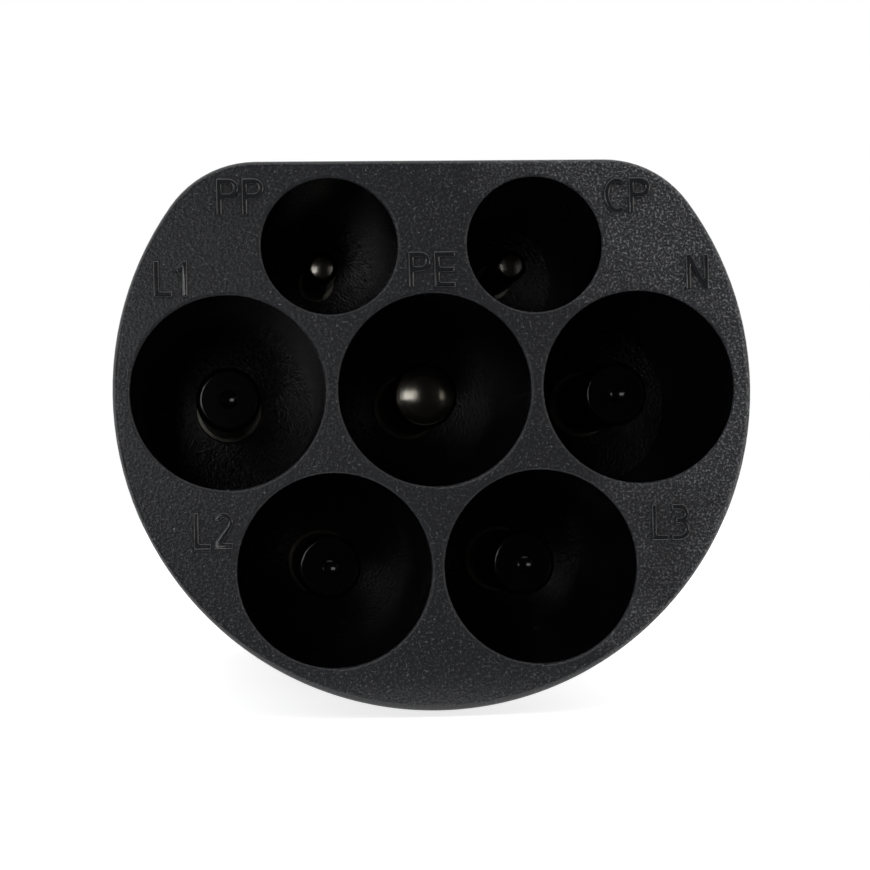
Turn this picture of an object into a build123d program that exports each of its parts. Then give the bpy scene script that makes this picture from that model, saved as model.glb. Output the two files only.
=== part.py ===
from build123d import *
import math
import os

# Plug at the socket end of an electric vehicle charging cable: seven pins stand back in
# round chambers of a D-shaped nose. They sit in a carrier behind the nose, which a two-part
# housing holds, with a cable gland behind.
# Lengths are in millimetres. While the pieces are made, x is to the right and z is up from
# the axis of the earth pin, and y is the depth behind the front face. At the end the plug is
# stood on the flat of its underside, centred on its length.

# Clearances
SLIDE_FIT = 0.1
SCREW_FIT = 0.05
HOLE_FIT = 0.2
CUT_MARGIN = 1.0

# Face of the nose
POWER_CHAMBER_D = 17.0
SIGNAL_CHAMBER_D = 12.0
CHAMBER_WEB = 1.1
NOSE_RIM = 1.5
NOSE_TOP_RIM = 1.5
NOSE_CORNER_R = 9.2
NOSE_EDGE_R = 0.5
CHAMBER_MOUTH_R = 0.25

# Nose along its depth
CHAMBER_DEPTH = 36.0
CARRIER_FLOOR = 11.0
CARRIER_FLANGE_T = 2.0
SPIGOT_INSET = 1.5
LOCK_POCKET_WIDTH = 5.0
LOCK_POCKET_LENGTH = 5.6
LOCK_POCKET_DEPTH = 5.5
LOCK_POCKET_SETBACK = 13.5
LOCK_POCKET_EDGE_R = 0.4

# Pins
POWER_PIN_D = 6.0
SIGNAL_PIN_D = 3.0
EARTH_TIP_DEPTH = 11.0
POWER_TIP_DEPTH = 13.5
SIGNAL_TIP_DEPTH = 18.5
EARTH_CROWN_R = 7.0
SIGNAL_CROWN_R = 5.5
BARE_TIP_EDGE_R = 0.6
SHANK_STEP = 0.3
POWER_SHOULDER_STEP = 3.15
SIGNAL_SHOULDER_STEP = 2.5
SHOULDER_LENGTH = 6.0
PIN_SEAL_SECTION = 1.6
TIP_CAP_LENGTH = 4.5
TIP_CAP_EDGE_R = 0.5
TIP_CAP_STEM_D = 3.2
TIP_CAP_STEM_LENGTH = 5.0
TIP_CAP_DIMPLE_R = 2.0
TIP_CAP_DIMPLE_DEPTH = 0.2

# Terminals behind the pins
POWER_TERMINAL_D = 10.5
POWER_TERMINAL_LENGTH = 15.4
POWER_WIRE_D = 5.4
SIGNAL_TERMINAL_D = 6.0
SIGNAL_TERMINAL_LENGTH = 11.0
SIGNAL_WIRE_D = 2.6
WIRE_HOLE_FLOOR = 3.4
TERMINAL_SCREW_SETBACK = 5.0
POWER_CLAMP_SCREW_D = 4.0
SIGNAL_CLAMP_SCREW_D = 2.5
CLAMP_SCREW_REACH = 0.7
CLAMP_SCREW_SUNK = 0.2

# Coding resistor
RESISTOR_D = 2.6
RESISTOR_LENGTH = 6.5
RESISTOR_LEAD_D = 0.8
RESISTOR_LEAD_RUN = 1.6

# Retainer plate and its screws
RETAINER_T = 4.0
RETAINER_INSET = 1.0
RETAINER_SCREW_D = 3.0
RETAINER_SCREW_LENGTH = 30.0
RETAINER_SCREW_HEAD_D = 5.6
RETAINER_SCREW_HEAD_T = 2.2
RETAINER_SCREW_EDGE = 4.2
RETAINER_SCREW_ANGLE = 30.0

# Collar gasket
GASKET_T = 2.5
GASKET_ABOVE_UNDERSIDE = 0.1

# Housing
HOUSING_PROUD = 1.2
HOUSING_EDGE_R = 0.8
GRIP_LENGTH = 66.0
TAPER_LENGTH = 17.0
TAPER_START_PROUD = 0.3
NECK_LENGTH = 14.0
NECK_WALL = 2.8
BELLY_FLAT_WIDTH = 12.0
RIB_SETBACK = 2.5
RIB_T = 2.4
RIB_REACH = 1.8
TONGUE_T = 0.9
TONGUE_H = 1.0
TONGUE_FRONT_SETBACK = 6.0
GROOVE_COUNT = 6
GROOVE_PITCH = 6.6
GROOVE_WIDTH = 3.0
GROOVE_DEPTH = 0.8
GROOVE_FIRST_SETBACK = 17.0
GROOVE_LOW = 14.0
JOINT_LINE_H = 0.5
JOINT_LINE_DEPTH = 0.4

# Housing screws and bosses
BOSS_SPREAD = 39.0
BOSS_D = 9.6
BOSS_BEHIND_TERMINALS = 8.5
BOSS_BEFORE_TAPER = 7.0
HOUSING_SCREW_D = 3.5
HOUSING_SCREW_HEAD_D = 6.0
HOUSING_SCREW_HEAD_T = 2.4
HOUSING_SCREW_SEAT = 13.0
HOUSING_SCREW_BITE = 10.0
SCREW_TIP_ROOM = 1.0

# Cable gland
CABLE_D = 17.0
CABLE_FIT = 0.1
CABLE_PASS = 1.0
GLAND_THREAD_D = 32.0
GLAND_STICKOUT = 13.0
GLAND_FLANGE_STEP = 2.0
GLAND_FLANGE_T = 3.0
GLAND_FLANGE_SETBACK = 4.0
SEAL_WALL = 3.9
SEAL_LENGTH = 14.0
SEAL_NECK_STEP = 1.7
SEAL_NECK_LENGTH = 9.0
CAGE_LENGTH = 12.0
CAGE_SLOTS = 8
CAGE_SLOT_W = 1.4
CAGE_RING_T = 2.5
NUT_ACROSS_FLATS = 36.0
NUT_GAP = 0.5
NUT_SKIRT_LENGTH = 14.0
NUT_LENGTH = 24.0
NUT_MOUTH_RIM = 2.4
NUT_CORNER_TRIM = 0.6

# Values that follow from the ones above
PITCH = POWER_CHAMBER_D + CHAMBER_WEB
SIGNAL_TO_POWER = (POWER_CHAMBER_D + SIGNAL_CHAMBER_D) / 2 + CHAMBER_WEB
SIGNAL_RISE = math.sqrt(SIGNAL_TO_POWER**2 - (PITCH / 2) ** 2)
LOWER_DROP = PITCH * math.sin(math.radians(60))
NOSE_R = PITCH + POWER_CHAMBER_D / 2 + NOSE_RIM
NOSE_TOP = SIGNAL_RISE + SIGNAL_CHAMBER_D / 2 + NOSE_TOP_RIM
GASKET_SEAT = CHAMBER_DEPTH + CARRIER_FLANGE_T
SEAL_SEAT = CHAMBER_DEPTH + CARRIER_FLOOR
SHOULDER_SEAT = SEAL_SEAT + PIN_SEAL_SECTION
CARRIER_REAR = SHOULDER_SEAT + SHOULDER_LENGTH
RETAINER_REAR = CARRIER_REAR + RETAINER_T
RETAINER_SCREW_RADIUS = NOSE_R - SPIGOT_INSET - RETAINER_SCREW_EDGE
RETAINER_SCREW_TIP = RETAINER_REAR - RETAINER_SCREW_LENGTH
POWER_TERMINAL_REAR = CARRIER_REAR + POWER_TERMINAL_LENGTH
SIGNAL_TERMINAL_REAR = CARRIER_REAR + SIGNAL_TERMINAL_LENGTH
HOUSING_FRONT = GASKET_SEAT + GASKET_T
HOUSING_R = NOSE_R + HOUSING_PROUD
HOUSING_INSET = SPIGOT_INSET - SLIDE_FIT
HOUSING_WALL = HOUSING_PROUD + HOUSING_INSET
RIB_FRONT = HOUSING_FRONT + RIB_SETBACK
RIB_REAR = RIB_FRONT + RIB_T
TAPER_START = HOUSING_FRONT + GRIP_LENGTH
NECK_FRONT = TAPER_START + TAPER_LENGTH
HOUSING_REAR = NECK_FRONT + NECK_LENGTH
GLAND_R = GLAND_THREAD_D / 2
GLAND_FLANGE_R = GLAND_R + GLAND_FLANGE_STEP
NECK_R = GLAND_FLANGE_R + SLIDE_FIT + NECK_WALL
BELLY_DROP = math.sqrt(HOUSING_R**2 - (BELLY_FLAT_WIDTH / 2) ** 2)
GASKET_PROUD = BELLY_DROP - GASKET_ABOVE_UNDERSIDE - NOSE_R
BOSS_DEPTHS = (POWER_TERMINAL_REAR + BOSS_BEHIND_TERMINALS, TAPER_START - BOSS_BEFORE_TAPER)
BOSS_PLACES = [(side * BOSS_SPREAD / 2, depth) for depth in BOSS_DEPTHS for side in (-1, 1)]
GLAND_REAR = HOUSING_REAR + GLAND_STICKOUT
SEAL_BORE_R = CABLE_D / 2 + CABLE_FIT
SEAL_R = SEAL_BORE_R + SEAL_WALL
SEAL_FRONT = GLAND_REAR - SEAL_LENGTH
CAGE_FRONT = GLAND_REAR - SEAL_NECK_LENGTH
CAGE_REAR = CAGE_FRONT + CAGE_LENGTH
NUT_FRONT = HOUSING_REAR + NUT_GAP
NUT_REAR = NUT_FRONT + NUT_LENGTH
REACH = 2 * HOUSING_R

POWER_PLACES = {
    "pe": (0, 0),
    "l1": (-PITCH, 0),
    "l2": (-PITCH / 2, -LOWER_DROP),
    "l3": (PITCH / 2, -LOWER_DROP),
    "n": (PITCH, 0),
}
SIGNAL_PLACES = {"pp": (-PITCH / 2, SIGNAL_RISE), "cp": (PITCH / 2, SIGNAL_RISE)}
SCREW_SIDES = {
    "pe": (0, 1),
    "l1": (-1, 0),
    "l2": (0, -1),
    "l3": (0, -1),
    "n": (1, 0),
    "pp": (0, 1),
    "cp": (0, 1),
}


def across(depth):
    """Drawing plane across the plug at a depth, seen from the front."""
    return Plane(origin=(0, depth, 0), x_dir=(1, 0, 0), z_dir=(0, -1, 0))


def prism(outline, front, back):
    """Solid of an outline between two depths."""
    return extrude(across(back) * outline, amount=back - front)


def rod(place, diameter, front, back):
    """Round bar along the plug, about the axis at a place on the face."""
    return prism(Pos(*place) * Circle(diameter / 2), front, back)


def post(place, diameter, low, high):
    """Round bar that stands upright at a place given as x and depth."""
    return extrude(Plane.XY.offset(low) * Pos(*place) * Circle(diameter / 2), amount=high - low)


def side_rod(place, side, depth, diameter, start, end):
    """Round bar square to a pin's axis, from start to end away from that axis."""
    origin = (place[0] + side[0] * start, depth, place[1] + side[1] * start)
    facing = Plane(origin=origin, z_dir=(side[0], 0, side[1]))
    return extrude(facing * Circle(diameter / 2), amount=end - start)


def hex_socket(plane, across_flats, depth):
    """Cutter for a hexagon socket that opens on a plane and goes in against its normal."""
    return extrude(plane * RegularPolygon(across_flats / 2, 6, major_radius=False), amount=-depth)


def turned(edges):
    """Solid turned about the plug's axis from edges in the plane of depth and radius."""
    half = make_face(Plane(origin=(0, 0, 0), x_dir=(0, 1, 0), z_dir=(1, 0, 0)) * edges)
    return revolve(half, Axis.Y)


def d_outline(inset=0.0):
    """Outline of the nose moved in by inset: round, flat on top, with tangent corner arcs."""
    top = NOSE_TOP - inset
    disc = Circle(NOSE_R - inset)
    cut = Pos(0, top - REACH / 2) * Rectangle(REACH, REACH)
    outline = disc & cut
    return fillet(outline.vertices().group_by(Axis.Y)[-1], NOSE_CORNER_R - inset)


def d_ring(outer_inset, inner_inset, front, back):
    """Ring between two sizes of the nose's outline."""
    return prism(d_outline(outer_inset) - d_outline(inner_inset), front, back)


def seal_pocket_d(pin_d):
    """Diameter of the pocket for a pin's sealing ring."""
    return pin_d + 2 * (SHANK_STEP + PIN_SEAL_SECTION + 2 * SLIDE_FIT)


def pin_kinds():
    """Each pin as name, place, diameter, depth of its tip, and diameter of its shoulder."""
    kinds = []
    for name, place in POWER_PLACES.items():
        tip = EARTH_TIP_DEPTH if name == "pe" else POWER_TIP_DEPTH
        kinds.append((name, place, POWER_PIN_D, tip, POWER_PIN_D + 2 * POWER_SHOULDER_STEP))
    for name, place in SIGNAL_PLACES.items():
        shoulder_d = SIGNAL_PIN_D + 2 * SIGNAL_SHOULDER_STEP
        kinds.append((name, place, SIGNAL_PIN_D, SIGNAL_TIP_DEPTH, shoulder_d))
    return kinds


def make_nose():
    """Moulded nose: a D-shaped block with seven round chambers through it."""
    nose = prism(d_outline(), 0, CHAMBER_DEPTH)
    for place in POWER_PLACES.values():
        nose -= rod(place, POWER_CHAMBER_D, 0, CHAMBER_DEPTH)
    for place in SIGNAL_PLACES.values():
        nose -= rod(place, SIGNAL_CHAMBER_D, 0, CHAMBER_DEPTH)
    face = nose.faces().sort_by(Axis.Y)[0]
    mouths = [edge for wire in face.inner_wires() for edge in wire.edges()]
    nose = fillet(mouths, CHAMBER_MOUTH_R)
    face = nose.faces().sort_by(Axis.Y)[0]
    nose = fillet(face.outer_wire().edges(), NOSE_EDGE_R)
    for place in retainer_screw_places():
        hole_d = RETAINER_SCREW_D + 2 * SCREW_FIT
        nose -= rod(place, hole_d, RETAINER_SCREW_TIP - SCREW_TIP_ROOM, CHAMBER_DEPTH)
    return nose - lock_pocket()


def make_carrier():
    """Carrier that closes the chambers and seats the pins, with the spigot that the housing holds."""
    carrier = prism(d_outline(), CHAMBER_DEPTH, GASKET_SEAT)
    carrier += prism(d_outline(SPIGOT_INSET), GASKET_SEAT, CARRIER_REAR)
    groove_inset = SPIGOT_INSET + RIB_REACH
    carrier -= d_ring(0, groove_inset, RIB_FRONT - SLIDE_FIT, RIB_REAR + SLIDE_FIT)
    for _, place, pin_d, _, shoulder_d in pin_kinds():
        carrier -= rod(place, pin_d + 2 * (SHANK_STEP + SLIDE_FIT), CHAMBER_DEPTH, SEAL_SEAT)
        carrier -= rod(place, seal_pocket_d(pin_d), SEAL_SEAT, SHOULDER_SEAT)
        carrier -= rod(place, shoulder_d + 2 * SLIDE_FIT, SHOULDER_SEAT, CARRIER_REAR)
    for place in retainer_screw_places():
        carrier -= rod(place, RETAINER_SCREW_D + 2 * HOLE_FIT, CHAMBER_DEPTH, CARRIER_REAR)
    return carrier


def lock_pocket():
    """Cutter for the pocket in the flat top that the socket's locking bolt enters."""
    middle = LOCK_POCKET_SETBACK + LOCK_POCKET_LENGTH / 2
    sketch = Pos(0, middle) * RectangleRounded(LOCK_POCKET_WIDTH, LOCK_POCKET_LENGTH, LOCK_POCKET_EDGE_R)
    floor = NOSE_TOP - LOCK_POCKET_DEPTH
    return extrude(Plane.XY.offset(floor) * sketch, amount=LOCK_POCKET_DEPTH + CUT_MARGIN)


def bare_front(name, place, pin_d, tip):
    """Front of a bare pin, with a shallow crown whose edge is rounded."""
    crown_r = EARTH_CROWN_R if name == "pe" else SIGNAL_CROWN_R
    crown_rear = tip + pin_d / 2
    crown = rod(place, pin_d, tip, crown_rear) & Pos(place[0], tip + crown_r, place[1]) * Sphere(crown_r)
    side = crown.faces().filter_by(GeomType.CYLINDER)[0]
    crown = fillet(side.edges().sort_by(Axis.Y)[0], BARE_TIP_EDGE_R)
    return crown + rod(place, pin_d, crown_rear, CHAMBER_DEPTH)


def make_pin(name):
    """Turned contact: crowned or capped pin, shank, shoulder, and a terminal with a screw hole."""
    _, place, pin_d, tip, shoulder_d = next(kind for kind in pin_kinds() if kind[0] == name)
    terminal_d, terminal_rear, wire_d, screw_d = terminal_sizes(name)
    if name + "_tip_cap" in CAPPED:
        pin = rod(place, pin_d, tip + TIP_CAP_LENGTH, CHAMBER_DEPTH)
        stem_rear = tip + TIP_CAP_LENGTH + TIP_CAP_STEM_LENGTH + SLIDE_FIT
        pin -= rod(place, TIP_CAP_STEM_D + 2 * SCREW_FIT, tip, stem_rear)
    else:
        pin = bare_front(name, place, pin_d, tip)
    pin += rod(place, pin_d + 2 * SHANK_STEP, CHAMBER_DEPTH, SHOULDER_SEAT)
    pin += rod(place, shoulder_d, SHOULDER_SEAT, CARRIER_REAR)
    pin += rod(place, terminal_d, CARRIER_REAR, terminal_rear)
    pin -= rod(place, wire_d, CARRIER_REAR + WIRE_HOLE_FLOOR, terminal_rear)
    screw_depth = terminal_rear - TERMINAL_SCREW_SETBACK
    side = SCREW_SIDES[name]
    return pin - side_rod(place, side, screw_depth, screw_d + 2 * SCREW_FIT, 0, terminal_d)


def terminal_sizes(name):
    """Terminal diameter, its rear, the wire hole's diameter and the clamp screw's diameter."""
    if name in POWER_PLACES:
        return POWER_TERMINAL_D, POWER_TERMINAL_REAR, POWER_WIRE_D, POWER_CLAMP_SCREW_D
    return SIGNAL_TERMINAL_D, SIGNAL_TERMINAL_REAR, SIGNAL_WIRE_D, SIGNAL_CLAMP_SCREW_D


def make_tip_cap(name):
    """Finger-safe cap of insulating plastic, with a stem in the end of its pin."""
    place = POWER_PLACES[name]
    rear = POWER_TIP_DEPTH + TIP_CAP_LENGTH
    cap = rod(place, POWER_PIN_D, POWER_TIP_DEPTH, rear)
    cap = fillet(cap.faces().sort_by(Axis.Y)[0].edges(), TIP_CAP_EDGE_R)
    dimple_middle = POWER_TIP_DEPTH + TIP_CAP_DIMPLE_DEPTH - TIP_CAP_DIMPLE_R
    cap -= Pos(place[0], dimple_middle, place[1]) * Sphere(TIP_CAP_DIMPLE_R)
    return cap + rod(place, TIP_CAP_STEM_D, rear, rear + TIP_CAP_STEM_LENGTH)


def make_pin_seal(place, pin_d):
    """Rubber sealing ring round a pin's shank, between the carrier and the pin's shoulder."""
    centre = (place[0], SEAL_SEAT + PIN_SEAL_SECTION / 2, place[1])
    ring_r = pin_d / 2 + SHANK_STEP + SLIDE_FIT + PIN_SEAL_SECTION / 2
    return Plane(origin=centre, z_dir=(0, 1, 0)) * Torus(ring_r, PIN_SEAL_SECTION / 2)


def make_clamp_screw(name):
    """Set screw with a hexagon socket, in the side of a terminal."""
    place = (POWER_PLACES | SIGNAL_PLACES)[name]
    side = SCREW_SIDES[name]
    terminal_d, terminal_rear, wire_d, screw_d = terminal_sizes(name)
    depth = terminal_rear - TERMINAL_SCREW_SETBACK
    top = terminal_d / 2 - CLAMP_SCREW_SUNK
    screw = side_rod(place, side, depth, screw_d, wire_d / 2 - CLAMP_SCREW_REACH, top)
    end = (place[0] + side[0] * top, depth, place[1] + side[1] * top)
    return screw - hex_socket(Plane(origin=end, z_dir=(side[0], 0, side[1])), screw_d / 2, screw_d / 3)


def retainer_screw_places():
    """Places of the four retainer screws on the face."""
    rise = math.radians(RETAINER_SCREW_ANGLE)
    x = RETAINER_SCREW_RADIUS * math.cos(rise)
    z = RETAINER_SCREW_RADIUS * math.sin(rise)
    return [(x, z), (-x, z), (x, -z), (-x, -z)]


def make_retainer():
    """Plate behind the shoulders, with a hole for each terminal and screw."""
    plate = prism(d_outline(SPIGOT_INSET + RETAINER_INSET), CARRIER_REAR, RETAINER_REAR)
    for name, place in (POWER_PLACES | SIGNAL_PLACES).items():
        terminal_d = terminal_sizes(name)[0]
        plate -= rod(place, terminal_d + 2 * HOLE_FIT, CARRIER_REAR, RETAINER_REAR)
    for place in retainer_screw_places():
        plate -= rod(place, RETAINER_SCREW_D + 2 * HOLE_FIT, CARRIER_REAR, RETAINER_REAR)
    return plate


def make_retainer_screw(place):
    """Long screw with a round head, which clamps the retainer and the carrier to the nose."""
    head_rear = RETAINER_REAR + RETAINER_SCREW_HEAD_T
    screw = rod(place, RETAINER_SCREW_D, RETAINER_SCREW_TIP, RETAINER_REAR)
    screw += rod(place, RETAINER_SCREW_HEAD_D, RETAINER_REAR, head_rear)
    end = Plane(origin=(place[0], head_rear, place[1]), z_dir=(0, 1, 0))
    return screw - hex_socket(end, RETAINER_SCREW_HEAD_D / 2, RETAINER_SCREW_HEAD_T / 2)


def make_resistor():
    """Coding resistor along the plug, its two leads bent to the PP and PE terminals."""
    pp, pe = Vector(*SIGNAL_PLACES["pp"]), Vector(*POWER_PLACES["pe"])
    toward_pp = (pp - pe).normalized()
    gap_start = POWER_TERMINAL_D / 2
    gap_end = (pp - pe).length - SIGNAL_TERMINAL_D / 2
    middle = pe + toward_pp * ((gap_start + gap_end) / 2)
    place = (middle.X, middle.Y)
    front = RETAINER_REAR + RESISTOR_LEAD_RUN
    back = front + RESISTOR_LENGTH
    half_gap = (gap_end - gap_start) / 2
    body = fillet(rod(place, RESISTOR_D, front, back).edges(), RESISTOR_D / 8)
    leads = rod(place, RESISTOR_LEAD_D, front - RESISTOR_LEAD_RUN / 2, back + RESISTOR_LEAD_RUN / 2)
    ends = ((front - RESISTOR_LEAD_RUN / 2, 1), (back + RESISTOR_LEAD_RUN / 2, -1))
    for depth, way in ends:
        side = (way * toward_pp.X, way * toward_pp.Y)
        leads += Pos(place[0], depth, place[1]) * Sphere(RESISTOR_LEAD_D / 2)
        leads += side_rod(place, side, depth, RESISTOR_LEAD_D, 0, half_gap)
    return body + leads


def housing_envelope(inset, shift):
    """Round envelope that draws the housing's rear in to the neck, moved in and forward."""
    wide = HOUSING_R + TAPER_START_PROUD - inset
    narrow = NECK_R - inset
    start, end = TAPER_START - shift, NECK_FRONT - shift
    swing = TAPER_LENGTH / 2
    curve = Bezier((start, wide), (start + swing, wide), (end - swing, narrow), (end, narrow))
    rear_end = ((end, narrow), (HOUSING_REAR, narrow), (HOUSING_REAR, 0))
    outline = Polyline(*rear_end, (0, 0), (0, wide), (start, wide))
    return turned(curve + outline)


def make_housing_body():
    """Both halves of the housing as one: walls, rib, neck, grip grooves and screw bosses."""
    outer = prism(d_outline(-HOUSING_PROUD), HOUSING_FRONT, HOUSING_REAR)
    outer = fillet(outer.faces().sort_by(Axis.Y)[0].edges(), HOUSING_EDGE_R)
    outer &= housing_envelope(0, 0)
    outer = fillet(outer.faces().sort_by(Axis.Y)[-1].edges(), HOUSING_EDGE_R)
    below = Box(REACH, 4 * REACH, REACH, align=(Align.CENTER, Align.CENTER, Align.MAX))
    outer -= Pos(0, HOUSING_FRONT, -BELLY_DROP) * below
    outer -= joint_line()
    cavity = prism(d_outline(HOUSING_INSET), HOUSING_FRONT, NECK_FRONT)
    cavity &= housing_envelope(HOUSING_WALL, HOUSING_WALL / 2)
    body = outer - cavity
    body += d_ring(0, HOUSING_INSET + RIB_REACH, RIB_FRONT, RIB_REAR)
    for place in BOSS_PLACES:
        body += post(place, BOSS_D, -REACH, REACH) & outer
    body -= rod((0, 0), 2 * (GLAND_R + SLIDE_FIT), NECK_FRONT - TAPER_LENGTH / 2, HOUSING_REAR)
    flange_front = NECK_FRONT + GLAND_FLANGE_SETBACK
    flange_rear = flange_front + GLAND_FLANGE_T
    body -= rod((0, 0), 2 * (GLAND_FLANGE_R + SLIDE_FIT), flange_front - SLIDE_FIT, flange_rear + SLIDE_FIT)
    for place in BOSS_PLACES:
        body -= post(place, HOUSING_SCREW_D + 2 * HOLE_FIT, -HOUSING_SCREW_SEAT, 0)
        body -= post(place, HOUSING_SCREW_HEAD_D + 2 * HOLE_FIT, -REACH, -HOUSING_SCREW_SEAT)
        body -= post(place, HOUSING_SCREW_D + 2 * SCREW_FIT, 0, HOUSING_SCREW_BITE + SCREW_TIP_ROOM)
    return body - grip_grooves()


def joint_line():
    """Cutter for the shadow line round the outside of the joint between the halves."""
    core = prism(d_outline(JOINT_LINE_DEPTH - HOUSING_PROUD), HOUSING_FRONT, HOUSING_REAR)
    core &= housing_envelope(JOINT_LINE_DEPTH, 0)
    slab = Box(2 * REACH, 4 * REACH, JOINT_LINE_H)
    return Pos(0, HOUSING_FRONT, 0) * slab - core


def grip_grooves():
    """Cutter for the shallow grooves round the grip, which stop above the underside."""
    above = Pos(0, REACH / 2 - GROOVE_LOW) * Rectangle(REACH, REACH)
    outline = (d_outline(-HOUSING_PROUD - CUT_MARGIN) - d_outline(GROOVE_DEPTH - HOUSING_PROUD)) & above
    first = HOUSING_FRONT + GROOVE_FIRST_SETBACK
    cutters = []
    for index in range(GROOVE_COUNT):
        front = first + index * GROOVE_PITCH
        cutters.append(prism(outline, front, front + GROOVE_WIDTH))
    return cutters


def tongues(fit):
    """The tongue on the lower half's two long edges, or its groove when a fit is given."""
    front = HOUSING_FRONT + TONGUE_FRONT_SETBACK - fit
    back = TAPER_START - fit
    width = TONGUE_T + 2 * fit
    middle = HOUSING_R - HOUSING_WALL / 2
    on_joint = (Align.CENTER, Align.CENTER, Align.MIN)
    strip = Box(width, back - front + 2 * fit, TONGUE_H + fit, align=on_joint)
    return [Pos(side * middle, (front + back) / 2, 0) * strip for side in (-1, 1)]


def make_housing_halves():
    """The housing split along its middle plane, with a tongue and groove at the joint."""
    body = make_housing_body()
    block = Box(REACH, 4 * REACH, REACH, align=(Align.CENTER, Align.CENTER, Align.MIN))
    upper = (body & Pos(0, HOUSING_FRONT, 0) * block) - tongues(SCREW_FIT)
    lower = (body & Pos(0, HOUSING_FRONT, -REACH) * block) + tongues(0)
    return upper, lower


def make_housing_screw(place):
    """Upright screw with a round head and a hexagon socket, put in from below."""
    head_low = -HOUSING_SCREW_SEAT - HOUSING_SCREW_HEAD_T
    screw = post(place, HOUSING_SCREW_D, -HOUSING_SCREW_SEAT, HOUSING_SCREW_BITE)
    screw += post(place, HOUSING_SCREW_HEAD_D, head_low, -HOUSING_SCREW_SEAT)
    end = Plane(origin=(place[0], place[1], head_low), z_dir=(0, 0, -1))
    return screw - hex_socket(end, HOUSING_SCREW_HEAD_D / 2, HOUSING_SCREW_HEAD_T / 2)


def make_gland_body():
    """Threaded tube of the gland, whose flange the housing's neck traps."""
    flange_front = NECK_FRONT + GLAND_FLANGE_SETBACK
    body = rod((0, 0), 2 * GLAND_R, NECK_FRONT, GLAND_REAR)
    body += rod((0, 0), 2 * GLAND_FLANGE_R, flange_front, flange_front + GLAND_FLANGE_T)
    body -= rod((0, 0), CABLE_D + 2 * CABLE_PASS, NECK_FRONT, SEAL_FRONT)
    return body - rod((0, 0), 2 * (SEAL_R + SLIDE_FIT), SEAL_FRONT, GLAND_REAR)


def make_gland_seal():
    """Rubber sleeve that grips the cable, with a neck for the clamping cage."""
    seal = rod((0, 0), 2 * SEAL_R, SEAL_FRONT, CAGE_FRONT)
    seal += rod((0, 0), 2 * (SEAL_R - SEAL_NECK_STEP), CAGE_FRONT, GLAND_REAR)
    return seal - rod((0, 0), 2 * SEAL_BORE_R, SEAL_FRONT, GLAND_REAR)


def make_gland_cage():
    """Slotted ring that the nut presses in on the seal."""
    inner_r = SEAL_R - SEAL_NECK_STEP + SLIDE_FIT
    cage = rod((0, 0), 2 * SEAL_R, CAGE_FRONT, CAGE_REAR) - rod((0, 0), 2 * inner_r, CAGE_FRONT, CAGE_REAR)
    slot = prism(Pos(SEAL_R, 0) * Rectangle(SEAL_R, CAGE_SLOT_W), CAGE_FRONT + CAGE_RING_T, CAGE_REAR)
    turns = [Rot(0, 360 * index / CAGE_SLOTS, 0) * slot for index in range(CAGE_SLOTS)]
    return cage - turns


def make_gland_nut():
    """Hexagon nut with a domed end, which drives the cage inwards."""
    hexagon = prism(RegularPolygon(NUT_ACROSS_FLATS / 2, 6, major_radius=False), NUT_FRONT, NUT_REAR)
    wide = NUT_ACROSS_FLATS / math.sqrt(3) - NUT_CORNER_TRIM
    hole_r = CABLE_D / 2 + CABLE_PASS
    dome_start = NUT_FRONT + NUT_SKIRT_LENGTH
    dome_top_r = hole_r + NUT_MOUTH_RIM
    dome = Bezier((dome_start, wide), (NUT_REAR, wide), (NUT_REAR, dome_top_r))
    front_end = ((NUT_FRONT, 0), (NUT_FRONT, wide), (dome_start, wide))
    sides = Polyline((NUT_REAR, dome_top_r), (NUT_REAR, 0), *front_end)
    nut = hexagon & turned(dome + sides)
    nut -= rod((0, 0), 2 * (GLAND_R + SLIDE_FIT), NUT_FRONT, GLAND_REAR + SLIDE_FIT)
    press_r = SEAL_R + SLIDE_FIT
    bore = Polyline(
        (GLAND_REAR, 0),
        (GLAND_REAR, press_r),
        (CAGE_REAR, press_r),
        (CAGE_REAR + press_r - hole_r, hole_r),
        (NUT_REAR, hole_r),
        (NUT_REAR, 0),
        (GLAND_REAR, 0),
    )
    return nut - turned(bore)


CAPPED = ["l1_tip_cap", "l2_tip_cap", "l3_tip_cap", "n_tip_cap"]


def make_parts():
    """Every piece of the plug by its name."""
    upper, lower = make_housing_halves()
    parts = {"plug_nose": make_nose(), "contact_carrier": make_carrier()}
    parts |= {"upper_housing": upper, "lower_housing": lower}
    for name, *_ in pin_kinds():
        parts[name + "_pin"] = make_pin(name)
    for cap in CAPPED:
        parts[cap] = make_tip_cap(cap.split("_")[0])
    power_seals = [make_pin_seal(place, POWER_PIN_D) for place in POWER_PLACES.values()]
    signal_seals = [make_pin_seal(place, SIGNAL_PIN_D) for place in SIGNAL_PLACES.values()]
    parts["power_pin_seals"] = Compound(power_seals)
    parts["signal_pin_seals"] = Compound(signal_seals)
    parts["power_terminal_screws"] = Compound([make_clamp_screw(name) for name in POWER_PLACES])
    parts["signal_terminal_screws"] = Compound([make_clamp_screw(name) for name in SIGNAL_PLACES])
    parts["coding_resistor"] = make_resistor()
    parts["contact_retainer"] = make_retainer()
    parts["retainer_screws"] = Compound([make_retainer_screw(place) for place in retainer_screw_places()])
    parts["collar_gasket"] = d_ring(-GASKET_PROUD, SPIGOT_INSET - SLIDE_FIT, GASKET_SEAT, HOUSING_FRONT)
    parts["housing_screws"] = Compound([make_housing_screw(place) for place in BOSS_PLACES])
    parts["gland_body"] = make_gland_body()
    parts["gland_seal"] = make_gland_seal()
    parts["gland_cage"] = make_gland_cage()
    parts["gland_nut"] = make_gland_nut()
    return parts


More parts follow.
